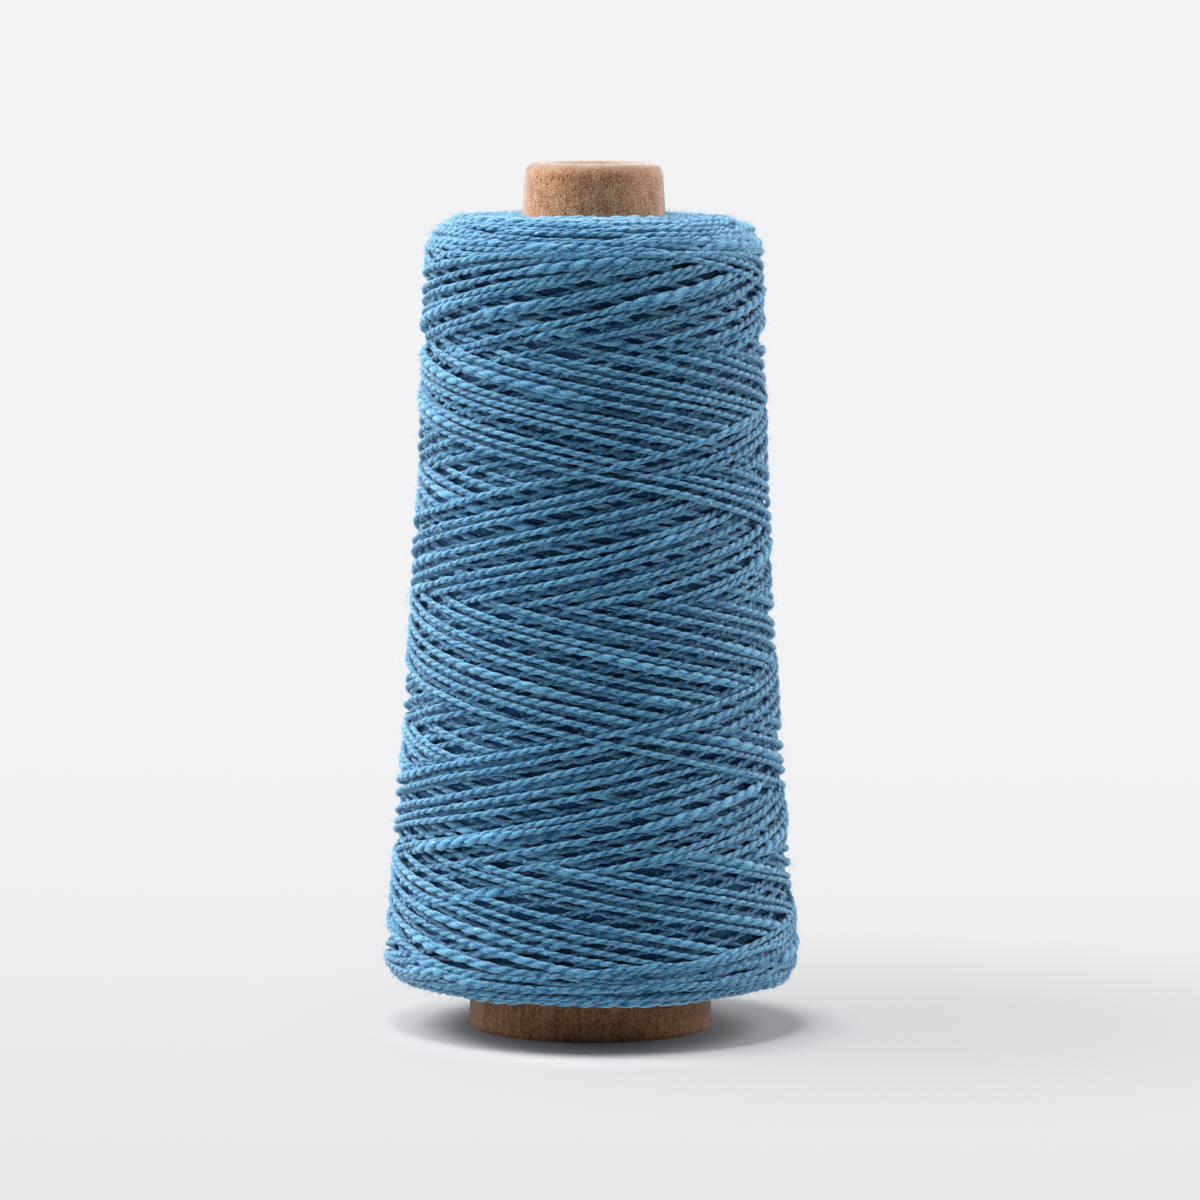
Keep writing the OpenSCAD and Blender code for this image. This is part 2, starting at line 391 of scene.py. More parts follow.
def wander(length, scale, seed):
    """A smooth random wave along the yarn, from -1 to 1."""
    knots = np.random.default_rng(seed).uniform(-1, 1, int(length[-1] / scale) + 4)
    at = length / scale
    i = at.astype(int)
    f = smoothstep(at - i, 0.0, 1.0)
    return knots[i] * (1 - f) + knots[i + 1] * f


def slubs(length, seed):
    """Where the spinner let the yarn run thick, from 0 to 1."""
    rng = np.random.default_rng(seed)
    thick = np.zeros_like(length)
    middle = rng.uniform(*FIRST_SLUB)
    while middle < length[-1]:
        half = rng.uniform(*HALF_SLUB)
        strength = rng.uniform(*SLUB_STRENGTH)
        near = slice(*np.searchsorted(length, (middle - half, middle + half)))
        x = np.abs(length[near] - middle) / half
        thick[near] = np.maximum(thick[near], strength * (1 - smoothstep(x, 0.4, 1.0)))
        middle += rng.uniform(*NEXT_SLUB)
    return thick


def dressed(points, out, length, seed):
    """What the plies need at each point of a path in mm."""
    tangent = np.gradient(points, axis=0)
    tangent /= np.linalg.norm(tangent, axis=1)[:, None]
    out = out - (out * tangent).sum(1)[:, None] * tangent
    out /= np.linalg.norm(out, axis=1)[:, None]
    slub = slubs(length, seed)
    pitch = TWIST_PITCH + SLUB_PITCH * slub
    for amount, mm_long, draw in PITCH_WAVES:
        pitch = pitch + amount * wander(length, mm_long, seed + draw)
    phase = 2 * math.pi * np.concatenate([[0], np.cumsum(np.diff(length) / pitch[1:])])
    uneven = 1.0
    for amount, mm_long, draw in SIZE_WAVES:
        uneven = uneven + amount * wander(length, mm_long, seed + draw)
    size = (THIN_SIZE + SLUB_SIZE * slub) * uneven
    return {"points": points, "out": out, "phase": phase, "size": size, "along": length}


def run_along(points):
    """Length of the path up to each of its points."""
    return np.concatenate([[0], np.cumsum(np.linalg.norm(np.diff(points, axis=0), axis=1))])


def round_axis(r, z, angle):
    """Points or vectors from a radius and a height, at an angle from the front."""
    return np.stack([r * np.sin(angle), -r * np.cos(angle), z], 1)


def wind(first, last, step, seed, spare=0.0):
    """The yarn from double traverse first to last, 0 being the newest whole one, and spare turns
    of the next. One turn is 2 pi of angle, and a double traverse is TURNS of them."""
    half = TURNS / 2
    uneven = np.random.default_rng(seed).uniform(-UNEVEN, UNEVEN, (last - first + 4, 2))
    turn = np.arange(first * TURNS, (last + 1) * TURNS + spare, TURN_STEP)
    k = np.floor(turn / TURNS)
    s = turn - k * TURNS
    age = np.clip(-k, 0, None)
    row = (k - first).astype(int)
    rising = s < half
    # the foot: the guide turned FOOT_LAG before the legs cross
    from_foot = np.where(rising, s, s - TURNS)
    low = FOOT_CROSSING + turn_back(from_foot + FOOT_LAG, FOOT_LAG)
    # the shoulder: the yarn leaves the guide slowly before the peak and drops straight after it
    high = SHOULDER_CROSSING - turn_back(SHOULDER_PEAK - (s - half), SHOULDER_LAG)
    high = high + np.where(rising, 0, LEG_MAKE_UP * smoothstep(s - half, *MAKE_UP_TURNS))
    blend = smoothstep(np.abs(s - half) / half, *GIVE_WAY)
    q = high * (1 - blend) + low * blend
    near_end = smoothstep(np.abs(q - MIDDLE) / END_REACH, *END_SHARE)
    top = q > MIDDLE
    widen = WIDEN * age / CYCLE * np.where(top, WIDEN_TOP, WIDEN_FOOT)
    q = q + near_end * (widen + np.where(top, uneven[row, 1], uneven[row, 0]))
    late = np.clip((360 * s - LATE_START) * LATE_CLIMB, 0, LATE_MOST)
    q = q - np.where(k > 0, late, 0)
    theta = np.radians(FIRST_ANGLE) + 2 * math.pi * (turn - TURNS)
    # a strand dives under each younger one that crosses it: the crossing strand is this far ahead
    start = np.where(rising, *FIRST_OVER)
    ahead = np.mod(-1 - np.mod(2 * s, 1.0) * CYCLE - start, CYCLE) + start
    under = smoothstep(np.mod(age, CYCLE) + 0.5 - ahead, *DIVE)
    under = under * smoothstep(ahead - start, *DIVE_OUT)
    # an older cycle lies a step deeper, but comes up to the skin where it turns back
    covered = smoothstep(q, *COVERED_FROM) * (1 - smoothstep(q, *COVERED_TO))
    steps = CYCLE_STEP * np.floor(age / CYCLE) * covered + CYCLE_DRIFT * np.mod(age, CYCLE) / CYCLE
    r, z, nr, nz = outline(q, np.where(k > 0, NEWEST_DEPTH, LAYER * (under + steps)))
    along = run_along(round_axis(r, z, theta))
    at = np.linspace(0, along[-1], int(along[-1] / step))
    r, z, nr, nz, theta = (np.interp(at, along, a) for a in (r, z, nr, nz, theta))
    for mm_high, mm_long, draw in WAVES_UP:
        z = z + mm_high * wander(at, mm_long, seed + draw)
    r = r + WAVE_OUT[0] * wander(at, WAVE_OUT[1], seed + WAVE_OUT[2])
    return dressed(round_axis(r, z, theta), round_axis(nr, nz, theta), at, seed + 20)


def plied_yarn_tree(material):
    """Sweeps two plies round a path whose points carry an outward vector, a phase, a size and
    their place along the yarn."""
    tree = bpy.data.node_groups.new("plied_yarn", "GeometryNodeTree")
    face = tree.interface
    face.new_socket("Path", in_out="INPUT", socket_type="NodeSocketGeometry")
    for title, value in PLY_SHAPE.items():
        face.new_socket(title, in_out="INPUT", socket_type="NodeSocketFloat").default_value = value
    face.new_socket("Sides", in_out="INPUT", socket_type="NodeSocketInt").default_value = 6
    face.new_socket("Yarn", in_out="OUTPUT", socket_type="NodeSocketGeometry")
    given = tree.nodes.new("NodeGroupInput").outputs
    read = {
        key: add(tree, "GeometryNodeInputNamedAttribute", {"data_type": kind}, Name=key)
        for key, kind in (PATH_POINTS | SKIN_POINTS).items()
    }
    path = add(tree, "GeometryNodeMeshToCurve", Mesh=given["Path"])
    tangent = add(tree, "GeometryNodeInputTangent")
    normal = add(tree, "GeometryNodeInputNormal")
    position = add(tree, "GeometryNodeInputPosition")
    side = add(tree, "ShaderNodeVectorMath", {"operation": "CROSS_PRODUCT"}, i0=read["outward"], i1=tangent)
    ring = add(tree, "GeometryNodeCurvePrimitiveCircle", Resolution=given["Sides"], Radius=1.0)
    factor = add(tree, "GeometryNodeSplineParameter").outputs["Factor"]
    ring = add(tree, "GeometryNodeStoreNamedAttribute", {"data_type": "FLOAT", "domain": "POINT"},
               Geometry=ring, Name="around", Value=factor)
    # how far a ply's heart lies from the strand's, and its own radius, both grown with the slubs
    reach = add(tree, "ShaderNodeMath", {"operation": "POWER"}, i0=read["size"], i1=0.8)
    reach = add(tree, "ShaderNodeMath", {"operation": "MULTIPLY"}, i0=reach, i1=given["Ply Offset"])
    reach = add(tree, "ShaderNodeMath", {"operation": "MULTIPLY"}, i0=reach, i1=MM)
    radius = add(tree, "ShaderNodeMath", {"operation": "POWER"}, i0=read["size"], i1=1.15)
    radius = add(tree, "ShaderNodeMath", {"operation": "MULTIPLY"}, i0=radius, i1=given["Ply Radius"])
    radius = add(tree, "ShaderNodeMath", {"operation": "MULTIPLY"}, i0=radius, i1=MM)
    join = add(tree, "GeometryNodeJoinGeometry")
    for ply in range(2):
        turned = add(tree, "ShaderNodeMath", {"operation": "ADD"}, i0=read["phase"], i1=ply * math.pi)
        cosine = add(tree, "ShaderNodeMath", {"operation": "COSINE"}, i0=turned)
        sine = add(tree, "ShaderNodeMath", {"operation": "SINE"}, i0=turned)
        lift = add(tree, "ShaderNodeVectorMath", {"operation": "SCALE"}, i0=read["outward"], Scale=cosine)
        swing = add(tree, "ShaderNodeVectorMath", {"operation": "SCALE"}, i0=side, Scale=sine)
        crest = add(tree, "ShaderNodeVectorMath", {"operation": "ADD"}, i0=lift, i1=swing)
        cross = add(tree, "ShaderNodeVectorMath", {"operation": "CROSS_PRODUCT"}, i0=crest, i1=tangent)
        offset = add(tree, "ShaderNodeVectorMath", {"operation": "SCALE"}, i0=crest, Scale=reach)
        moved = add(tree, "GeometryNodeSetPosition", Geometry=path, Offset=offset)
        for key, value in {"crest_way": crest, "cross_way": cross, "heart": position}.items():
            moved = add(tree, "GeometryNodeStoreNamedAttribute",
                        {"data_type": "FLOAT_VECTOR", "domain": "POINT"}, Geometry=moved, Name=key,
                        Value=value)
        swell = add(tree, "ShaderNodeMath", {"operation": "MULTIPLY"}, i0=given["Swell"], i1=cosine)
        swell = add(tree, "ShaderNodeMath", {"operation": "ADD"}, i0=1.0, i1=swell)
        thick = add(tree, "ShaderNodeMath", {"operation": "MULTIPLY"}, i0=radius, i1=swell)
        swept = add(tree, "GeometryNodeCurveToMesh", Curve=moved, Profile_Curve=ring, Scale=thick,
                    Fill_Caps=True)
        tree.links.new(swept.outputs[0], join.inputs[0])
    # the fibres' own place: mm along the ply, and round it with the twist of the fibres
    angle = add(tree, "ShaderNodeMath", {"operation": "MULTIPLY"}, i0=read["around"], i1=2 * math.pi)
    twist = add(tree, "ShaderNodeMath", {"operation": "MULTIPLY"}, i0=read["along"], i1=given["Fibre Twist"])
    angle = add(tree, "ShaderNodeMath", {"operation": "ADD"}, i0=angle, i1=twist)
    cosine = add(tree, "ShaderNodeMath", {"operation": "COSINE"}, i0=angle)
    sine = add(tree, "ShaderNodeMath", {"operation": "SINE"}, i0=angle)
    place = add(tree, "ShaderNodeCombineXYZ", X=read["along"], Y=cosine, Z=sine)
    skin = add(tree, "GeometryNodeStoreNamedAttribute", {"data_type": "FLOAT_VECTOR", "domain": "POINT"},
               Geometry=join, Name="fibre", Value=place)
    # the two plies press flat against each other, and their skin has lumps 0.8 mm long
    from_heart = add(tree, "ShaderNodeVectorMath", {"operation": "SUBTRACT"}, i0=position, i1=read["heart"])
    spread = add(tree, "ShaderNodeVectorMath", {"operation": "DOT_PRODUCT"}, i0=from_heart,
                 i1=read["cross_way"]).outputs["Value"]
    press = add(tree, "ShaderNodeMath", {"operation": "MULTIPLY"}, i0=spread, i1=given["Flattening"])
    press = add(tree, "ShaderNodeVectorMath", {"operation": "SCALE"}, i0=read["cross_way"], Scale=press)
    lumps = add(tree, "ShaderNodeTexNoise", Vector=read["fibre"], Scale=1.3, Detail=1.0)
    lump = add(tree, "ShaderNodeMath", {"operation": "SUBTRACT"}, i0=lumps, i1=0.5)
    lump = add(tree, "ShaderNodeMath", {"operation": "MULTIPLY"}, i0=lump, i1=given["Roughness"])
    lump = add(tree, "ShaderNodeMath", {"operation": "MULTIPLY"}, i0=lump, i1=LUMP_HEIGHT)
    lump = add(tree, "ShaderNodeVectorMath", {"operation": "SCALE"}, i0=normal, Scale=lump)
    offset = add(tree, "ShaderNodeVectorMath", {"operation": "ADD"}, i0=press, i1=lump)
    skin = add(tree, "GeometryNodeSetPosition", Geometry=skin, Offset=offset)
    # from -1 in the cleft between the plies to 1 on the crest of a ply
    crest = add(tree, "ShaderNodeVectorMath", {"operation": "DOT_PRODUCT"}, i0=read["crest_way"],
                i1=normal).outputs["Value"]
    skin = add(tree, "GeometryNodeStoreNamedAttribute", {"data_type": "FLOAT", "domain": "POINT"},
               Geometry=skin, Name="crest", Value=crest)
    smooth = add(tree, "GeometryNodeSetShadeSmooth", Geometry=skin)
    real = add(tree, "GeometryNodeRealizeInstances", Geometry=smooth)
    paint = add(tree, "GeometryNodeSetMaterial", Geometry=real, Material=material)
    tree.links.new(paint.outputs[0], tree.nodes.new("NodeGroupOutput").inputs["Yarn"])
    return tree


def plain_mesh(name, source):
    """The evaluated object as a plain mesh object, and the source gone."""
    graph = bpy.context.evaluated_depsgraph_get()
    mesh = bpy.data.meshes.new_from_object(source.evaluated_get(graph), preserve_all_data_layers=True,
                                           depsgraph=graph)
    mesh.name = name
    made = bpy.data.objects.new(name, mesh)
    bpy.context.collection.objects.link(made)
    bpy.data.objects.remove(source)
    return made


def set_input(modifier, title, value):
    """Sets a Geometry Nodes input by the identifier of the socket that has this title."""
    for item in modifier.node_group.interface.items_tree:
        if item.item_type == "SOCKET" and item.in_out == "INPUT" and item.name == title:
            modifier[item.identifier] = value


def lay_out(mesh, sides):
    """Flattens the plies' skin into rows of a square, one cell for each face, so that colours
    baked onto it keep their detail."""
    count = len(mesh.polygons)
    size = np.zeros(count, dtype=np.int32)
    mesh.polygons.foreach_get("loop_total", size)
    first = np.zeros(count, dtype=np.int32)
    mesh.polygons.foreach_get("loop_start", first)
    quads = np.where(size == 4)[0]
    ring, strip = np.divmod(np.arange(len(quads)), sides)
    columns = max(1, int(math.sqrt(COLUMN_SHARE * len(quads))))
    rows = int(math.ceil((ring.max() + 1) / columns))
    wide, high = 1 / columns, 1 / (sides + 2 * ROW_MARGIN) / rows
    u = (ring % columns) / columns
    v = (ring // columns + (strip + ROW_MARGIN) / (sides + 2 * ROW_MARGIN)) / rows
    uv = np.zeros((len(mesh.loops), 2), dtype=np.float32)
    for corner, (a, b) in enumerate(((0, 0), (0, 1), (1, 1), (1, 0))):
        uv[first[quads] + corner] = np.stack([u + a * wide, v + b * high], 1)
    layer = mesh.uv_layers.new(name="OFBake")
    layer.data.foreach_set("uv", uv.ravel())


def spin_yarn(name, strands, tree, sides, node):
    """A piece of plied yarn from one or more dressed paths, standing for a CAD node."""
    counts = [len(s["points"]) for s in strands]
    starts = np.cumsum([0] + counts[:-1])
    whole = {key: np.concatenate([s[key] for s in strands]) for key in strands[0]}
    edges = [(i, i + 1) for start, count in zip(starts, counts) for i in range(start, start + count - 1)]
    mesh = bpy.data.meshes.new(name + "_path")
    mesh.from_pydata(whole["points"] * MM, edges, [])
    for key in ("phase", "size", "along"):
        mesh.attributes.new(key, "FLOAT", "POINT").data.foreach_set("value", whole[key].astype(np.float32))
    vectors = mesh.attributes.new("outward", "FLOAT_VECTOR", "POINT")
    vectors.data.foreach_set("vector", whole["out"].astype(np.float32).ravel())
    source = bpy.data.objects.new(name + "_path", mesh)
    bpy.context.collection.objects.link(source)
    modifier = source.modifiers.new("plies", "NODES")
    modifier.node_group = tree
    set_input(modifier, "Sides", sides)
    made = plain_mesh(name, source)
    lay_out(made.data, sides)
    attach(made, "root")
    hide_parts(node)
    return made


def pieces_of(strand, count):
    """A strand in as many equal lengths, each sharing its end point with the next."""
    total = len(strand["points"])
    ends = [n * total // count for n in range(count + 1)]
    return [
        {key: value[start : min(total, end + 1)] for key, value in strand.items()}
        for start, end in zip(ends, ends[1:])
    ]


cotton = yarn_material("slub_cotton_dyed", pale="79c3e0", deep="085e9b", speck="e0ecf2", sheen=1.0)
plies = plied_yarn_tree(cotton)
hairy = []

outer = wind(*OUTER_TRAVERSES, OUTER_STEP, OUTER_SEED, spare=SPARE_TURNS)
for n, length in enumerate(pieces_of(outer, 5)):
    hairy.append(spin_yarn(f"outer_lay_{n + 1}", [length], plies, 6, "outer_winding"))

under = wind(*UNDER_TRAVERSES, UNDER_STEP, UNDER_SEED)
for n, length in enumerate(pieces_of(under, 2)):
    spin_yarn(f"under_lay_{n + 1}", [length], plies, 4, "yarn_core")


# ---------------------------------------------------------------------------
# Turn-backs
# Each layer of yarn turns back a little nearer the cone's ends than the one laid over it, so the
# rounded foot and shoulder and the two end faces are rows of turn-backs, one yarn thick each. The
# innermost is a collar of a few close turns round the paper.
# ---------------------------------------------------------------------------

BIGHT_STEP = 1.3
BIGHTS_ROUND = 6
# half the length of a bight in degrees, its slant in mm a radian, and how deep its ends dive
BIGHT_REACH = (44, 58)
BIGHT_SLOPE = (-0.7, 0.7)
BIGHT_DIVE = 2.6
DIVE_POWER = 1.3
DIVE_INWARDS = 0.25
# how unevenly they lie: share of the way to the next one round, mm along the outline, and how
# many steps of so many mm deeper
BIGHT_ASIDE = (-0.15, 0.15)
BIGHT_ALONG = (-0.35, 0.35)
BIGHT_DEEP = (0, 4)
DEEP_STEP = 0.05
# slow waves, as (mm, mm long)
BIGHT_WAVE = (0.15, 9.0)
COLLAR_WAVE_OUT = (0.25, 17.0)
COLLAR_WAVE_UP = (0.12, 9.0)
COLLAR_TURNS = 3.3
COLLAR_PITCH = 1.15
COLLAR_RADIUS = 15.0
COLLAR_DEPTH = 0.15
TURN_BACK_STEP = 0.8
# a gap of yarn between one bight and the next, so that their slubs and streaks differ
BETWEEN_BIGHTS = 50
BEFORE_COLLAR = 7000
BIGHT_SEED = 97
COLLAR_SEED = 102
# the first and the last place along the outline, and which way is into the package
TURN_BACKS = (("foot_turn_backs", 13.2, -5.8, 1), ("shoulder_turn_backs", 153.4, 174.6, -1))


def turn_backs(first, last, inwards, step, seed):
    """Short arcs of yarn that touch the outline at q and dive into the package at both ends."""
    rng = np.random.default_rng(seed)
    strands = []
    length = 0.0
    for q in np.arange(abs(last - first), 0, -BIGHT_STEP):
        q = last - q if last > first else last + q
        turned = rng.uniform(0, 2 * math.pi)
        for n in range(BIGHTS_ROUND):
            middle = turned + 2 * math.pi * (n + rng.uniform(*BIGHT_ASIDE)) / BIGHTS_ROUND
            reach = math.radians(rng.uniform(*BIGHT_REACH))
            here = q + rng.uniform(*BIGHT_ALONG)
            middle_radius = outline(np.array([here]), 0.0)[0][0]
            x = np.linspace(-reach, reach, max(12, int(2 * reach * middle_radius / step)))
            slope = rng.uniform(*BIGHT_SLOPE)
            dive = BIGHT_DIVE * smoothstep(np.abs(x), reach * 0.4, reach) ** DIVE_POWER
            depth = np.zeros_like(x) + DEEP_STEP * rng.uniform(*BIGHT_DEEP)
            r, z, nr, nz = outline(here + slope * x, depth)
            z = z + inwards * dive
            r = r - DIVE_INWARDS * dive * (nr > 0.5)
            points = round_axis(r, z, middle + x)
            run = run_along(points)
            points[:, 2] += BIGHT_WAVE[0] * wander(run + 1, BIGHT_WAVE[1], int(rng.integers(1 << 30)))
            out = round_axis(nr, nz, middle + x)
            strands.append(dressed(points, out, run + length, int(rng.integers(1 << 30))))
            length += run[-1] + BETWEEN_BIGHTS
    return strands


def collar(q, inwards, step, seed):
    """A few close turns round the paper, from q outwards along the end face."""
    a = np.arange(0, 2 * math.pi * COLLAR_TURNS, step / COLLAR_RADIUS)
    across = q + inwards * COLLAR_PITCH * a / (2 * math.pi)
    r, z, nr, nz = outline(across, np.full_like(a, COLLAR_DEPTH))
    round_it = a * COLLAR_RADIUS + 1
    r = r + COLLAR_WAVE_OUT[0] * wander(round_it, COLLAR_WAVE_OUT[1], seed)
    z = z + COLLAR_WAVE_UP[0] * wander(round_it, COLLAR_WAVE_UP[1], seed + 1)
    points = round_axis(r, z, a)
    return dressed(points, round_axis(nr, nz, a), run_along(points) + BEFORE_COLLAR, seed + 2)


for name, first, last, inwards in TURN_BACKS:
    arcs = turn_backs(first, last, inwards, TURN_BACK_STEP, BIGHT_SEED + inwards)
    arcs.append(collar(last, inwards, TURN_BACK_STEP, COLLAR_SEED + inwards))
    hairy.append(spin_yarn(name, arcs, plies, 5, "yarn_core"))


# ---------------------------------------------------------------------------
# Loose fibres
# Carded cotton is hairy: short fibre ends stand out of the plies and give the yarn a soft halo.
# The top of the package is seen across its fibres, so it has more of them.
# ---------------------------------------------------------------------------

FIBRE_WIDTH = 0.03  # real ones are 0.02 mm: drawn as coarse as they need to show
FIBRE_DENSITY = 0.95  # fibres on a square mm
SHOULDER_DENSITY = 2.6
FIBRE_LENGTHS = (0.35, 1.5)  # how the shapes below are scaled
FIRST_FIBRE_SEED = 11
OUTWARD_ENOUGH = 0.15
SQUARE_MM_IN_A_METRE = 1e6
# straight fibre ends, as (lean in degrees, mm tall), and a bent one, as mm out, up and aside
STRAIGHT_ENDS = ((25, 0.8), (45, 0.6), (58, 0.8), (68, 1.0), (78, 0.8))
BENT_OUT, BENT_UP, BENT_ASIDE = 0.8, 0.9, -0.35
BENT_ROOT = 0.05


def loose_fibre_tree(material):
    """Stands straight and bent fibre ends on the outward skin of a piece of yarn."""
    tree = bpy.data.node_groups.new("loose_fibres", "GeometryNodeTree")
    face = tree.interface
    face.new_socket("Yarn", in_out="INPUT", socket_type="NodeSocketGeometry")
    sizes = {"Hairs per mm2": FIBRE_DENSITY, "Hair Width": FIBRE_WIDTH, "Shortest": FIBRE_LENGTHS[0],
             "Longest": FIBRE_LENGTHS[1]}
    for title, value in sizes.items():
        face.new_socket(title, in_out="INPUT", socket_type="NodeSocketFloat").default_value = value
    face.new_socket("Seed", in_out="INPUT", socket_type="NodeSocketInt").default_value = 3
    face.new_socket("Hairs", in_out="OUTPUT", socket_type="NodeSocketGeometry")
    given = tree.nodes.new("NodeGroupInput").outputs
    density = add(tree, "ShaderNodeMath", {"operation": "MULTIPLY"}, i0=given["Hairs per mm2"],
                  i1=SQUARE_MM_IN_A_METRE)
    outward = add(tree, "GeometryNodeInputNamedAttribute", {"data_type": "FLOAT_VECTOR"}, Name="outward")
    normal = add(tree, "GeometryNodeInputNormal")
    facing = add(tree, "ShaderNodeVectorMath", {"operation": "DOT_PRODUCT"}, i0=outward,
                 i1=normal).outputs["Value"]
    outer = add(tree, "FunctionNodeCompare", {"operation": "GREATER_THAN"}, i0=facing,
                i1=OUTWARD_ENOUGH)
    spread = add(tree, "GeometryNodeDistributePointsOnFaces", Mesh=given["Yarn"], Selection=outer,
                 Density=density, Seed=given["Seed"]).outputs
    width = add(tree, "ShaderNodeMath", {"operation": "MULTIPLY"}, i0=given["Hair Width"], i1=MM / 2)
    kinds = []
    for lean, tall in STRAIGHT_ENDS:
        spike = add(tree, "GeometryNodeMeshCone", Vertices=3, Radius_Top=0.0, Radius_Bottom=width,
                    Depth=tall * MM)
        kinds.append(add(tree, "GeometryNodeTransform", Geometry=spike,
                         Rotation=(0.0, math.radians(lean), 0.0)))
    bend = add(tree, "GeometryNodeCurveQuadraticBezier", Resolution=2, Start=(0, 0, -BENT_ROOT * MM),
               Middle=(BENT_OUT * MM * 0.2, BENT_ASIDE * MM * 0.4, BENT_UP * MM * 0.9),
               End=(BENT_OUT * MM, BENT_ASIDE * MM, BENT_UP * MM))
    profile = add(tree, "GeometryNodeCurvePrimitiveCircle", Resolution=3, Radius=1.0)
    kinds.append(add(tree, "GeometryNodeCurveToMesh", Curve=bend, Profile_Curve=profile, Scale=width,
                     Fill_Caps=True))
    hairs = add(tree, "GeometryNodeJoinGeometry")
    for kind in kinds:
        one = add(tree, "GeometryNodeGeometryToInstance", Geometry=kind)
        tree.links.new(one.outputs[0], hairs.inputs[0])
    turn = add(tree, "FunctionNodeRandomValue", {"data_type": "FLOAT"}, i2=0.0, i3=2 * math.pi,
               Seed=given["Seed"]).outputs[1]
    spin = add(tree, "FunctionNodeAxisAngleToRotation", Axis=(0, 0, 1), Angle=turn)
    aim = add(tree, "FunctionNodeRotateRotation", {"rotation_space": "LOCAL"}, Rotation=spread["Rotation"],
              Rotate_By=spin)
    size = add(tree, "FunctionNodeRandomValue", {"data_type": "FLOAT"}, i2=given["Shortest"],
               i3=given["Longest"], Seed=given["Seed"]).outputs[1]
    stood = add(tree, "GeometryNodeInstanceOnPoints", Points=spread["Points"], Instance=hairs,
                Pick_Instance=True, Rotation=aim, Scale=size)
    real = add(tree, "GeometryNodeRealizeInstances", Geometry=stood)
    smooth = add(tree, "GeometryNodeSetShadeSmooth", Geometry=real)
    paint = add(tree, "GeometryNodeSetMaterial", Geometry=smooth, Material=material)
    tree.links.new(paint.outputs[0], tree.nodes.new("NodeGroupOutput").inputs["Hairs"])
    return tree


def fibre_material():
    """Single cotton fibres: fine, matt, the yarn's blue a little greyed. The dye varies over 1.4 mm."""
    made, tree = new_material("loose_cotton_fibre")
    place = add(tree, "ShaderNodeTexCoord").outputs["Object"]
    dye = add(tree, "ShaderNodeTexNoise", Vector=place, Scale=700.0, Detail=1.0)
    stops = ((0.3, linear("5f9cc0")), (0.7, linear("93bfd6")))
    colour = add(tree, "ShaderNodeValToRGB", {"stops": stops}, Fac=dye)
    shader = add(tree, "ShaderNodeBsdfPrincipled", Base_Color=colour, Roughness=0.7, Sheen_Weight=0.3)
    add(tree, "ShaderNodeOutputMaterial", Surface=shader)
    return made


fuzz_tree = loose_fibre_tree(fibre_material())
for n, host in enumerate(hairy):
    source = bpy.data.objects.new("hairs_source", host.data)
    bpy.context.collection.objects.link(source)
    modifier = source.modifiers.new("hairs", "NODES")
    modifier.node_group = fuzz_tree
    density = SHOULDER_DENSITY if host.name == "shoulder_turn_backs" else FIBRE_DENSITY
    set_input(modifier, "Seed", FIRST_FIBRE_SEED + n)
    set_input(modifier, "Hairs per mm2", density)
    hairs = plain_mesh(f"loose_fibres_{n + 1}", source)
    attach(hairs, "root")


# ---------------------------------------------------------------------------
# Studio
# A pale floor and a pale world behind it, eight soft lights round and over the cone, and a
# camera in front, a little above the package and looking slightly down on it.
# ---------------------------------------------------------------------------

FLOOR = "a8a8aa"
BACKDROP = "f3f3f5"
PAINTED_SHADOW_COLOUR = "d3d3d7"
# painted falloff: the backdrop floor is drawn darker towards the front, in place of the light falling off
FLOOR_PAINTED_FALLOFF = ((0.0, "e7e7ea"), (0.25, "ebebed"), (0.5, "f0f0f2"), (1.0, BACKDROP))
FLOOR_NEAR, FLOOR_FAR = -0.2, 0.6  # where its shades begin and end, from front to back
FLOOR_SIDE, FLOOR_FRONT, FLOOR_BACK = 6, -3, 8
# the cone's own shadow shows inside a ring of these radii; beside it a faint, broad painted shadow is drawn
# into the backdrop
SHADOW_CENTRE = (0.004, -0.004, 0.0)
SHADOW_RING = (0.036, 0.052)
PAINTED_SHADOW_CENTRE = (0.055, 0.005, 0.0)
PAINTED_SHADOW_RADIUS = 0.13
PAINTED_SHADOW_STRENGTH = 0.75
FILL = 0.005

AIM = (0, 0, 0.08)
# place, width, height and power
SOFTBOXES = {
    "left_back_softbox": ((-0.75, 0.5, 0.55), 0.8, 0.8, 5.1),
    "left_softbox": ((-0.92, -0.05, 0.55), 0.8, 0.8, 7.1),
    "left_high_softbox": ((-0.67, 0.17, 0.80), 0.55, 0.55, 13.6),
    "right_back_softbox": ((0.75, 0.46, 0.58), 0.8, 0.8, 7.8),
    "right_high_softbox": ((0.67, 0.12, 0.80), 0.55, 0.55, 4.0),
    "right_low_softbox": ((0.95, 0.05, 0.35), 0.5, 0.6, 3.6),
    "overhead_softbox": ((-0.1, -0.15, 1.2), 0.4, 0.4, 7.2),
    "front_key_softbox": ((-0.15, -0.35, 1.15), 0.3, 0.3, 4.7),
}

CAMERA_PLACE = (0, -1.25, 0.207)
CAMERA_DOWN = 5.616  # degrees
CAMERA_ROLL = -0.0042  # radians
CAMERA_LENS = 191.7
SENSOR_WIDTH = 36
CLIP_END = 50
# pixels: the width of the frame, and how far the cone stands left of its middle
FRAME_WIDTH = 1200
SHIFT = 5.3


def seen_rays(tree):
    """1 for a ray that shows the backdrop: to the camera, in a gloss or through a clear thing."""
    rays = add(tree, "ShaderNodeLightPath").outputs
    seen = add(tree, "ShaderNodeMath", {"operation": "MAXIMUM"}, i0=rays["Is Camera Ray"],
               i1=rays["Is Glossy Ray"])
    return add(tree, "ShaderNodeMath", {"operation": "MAXIMUM"}, i0=seen, i1=rays["Is Transmission Ray"])


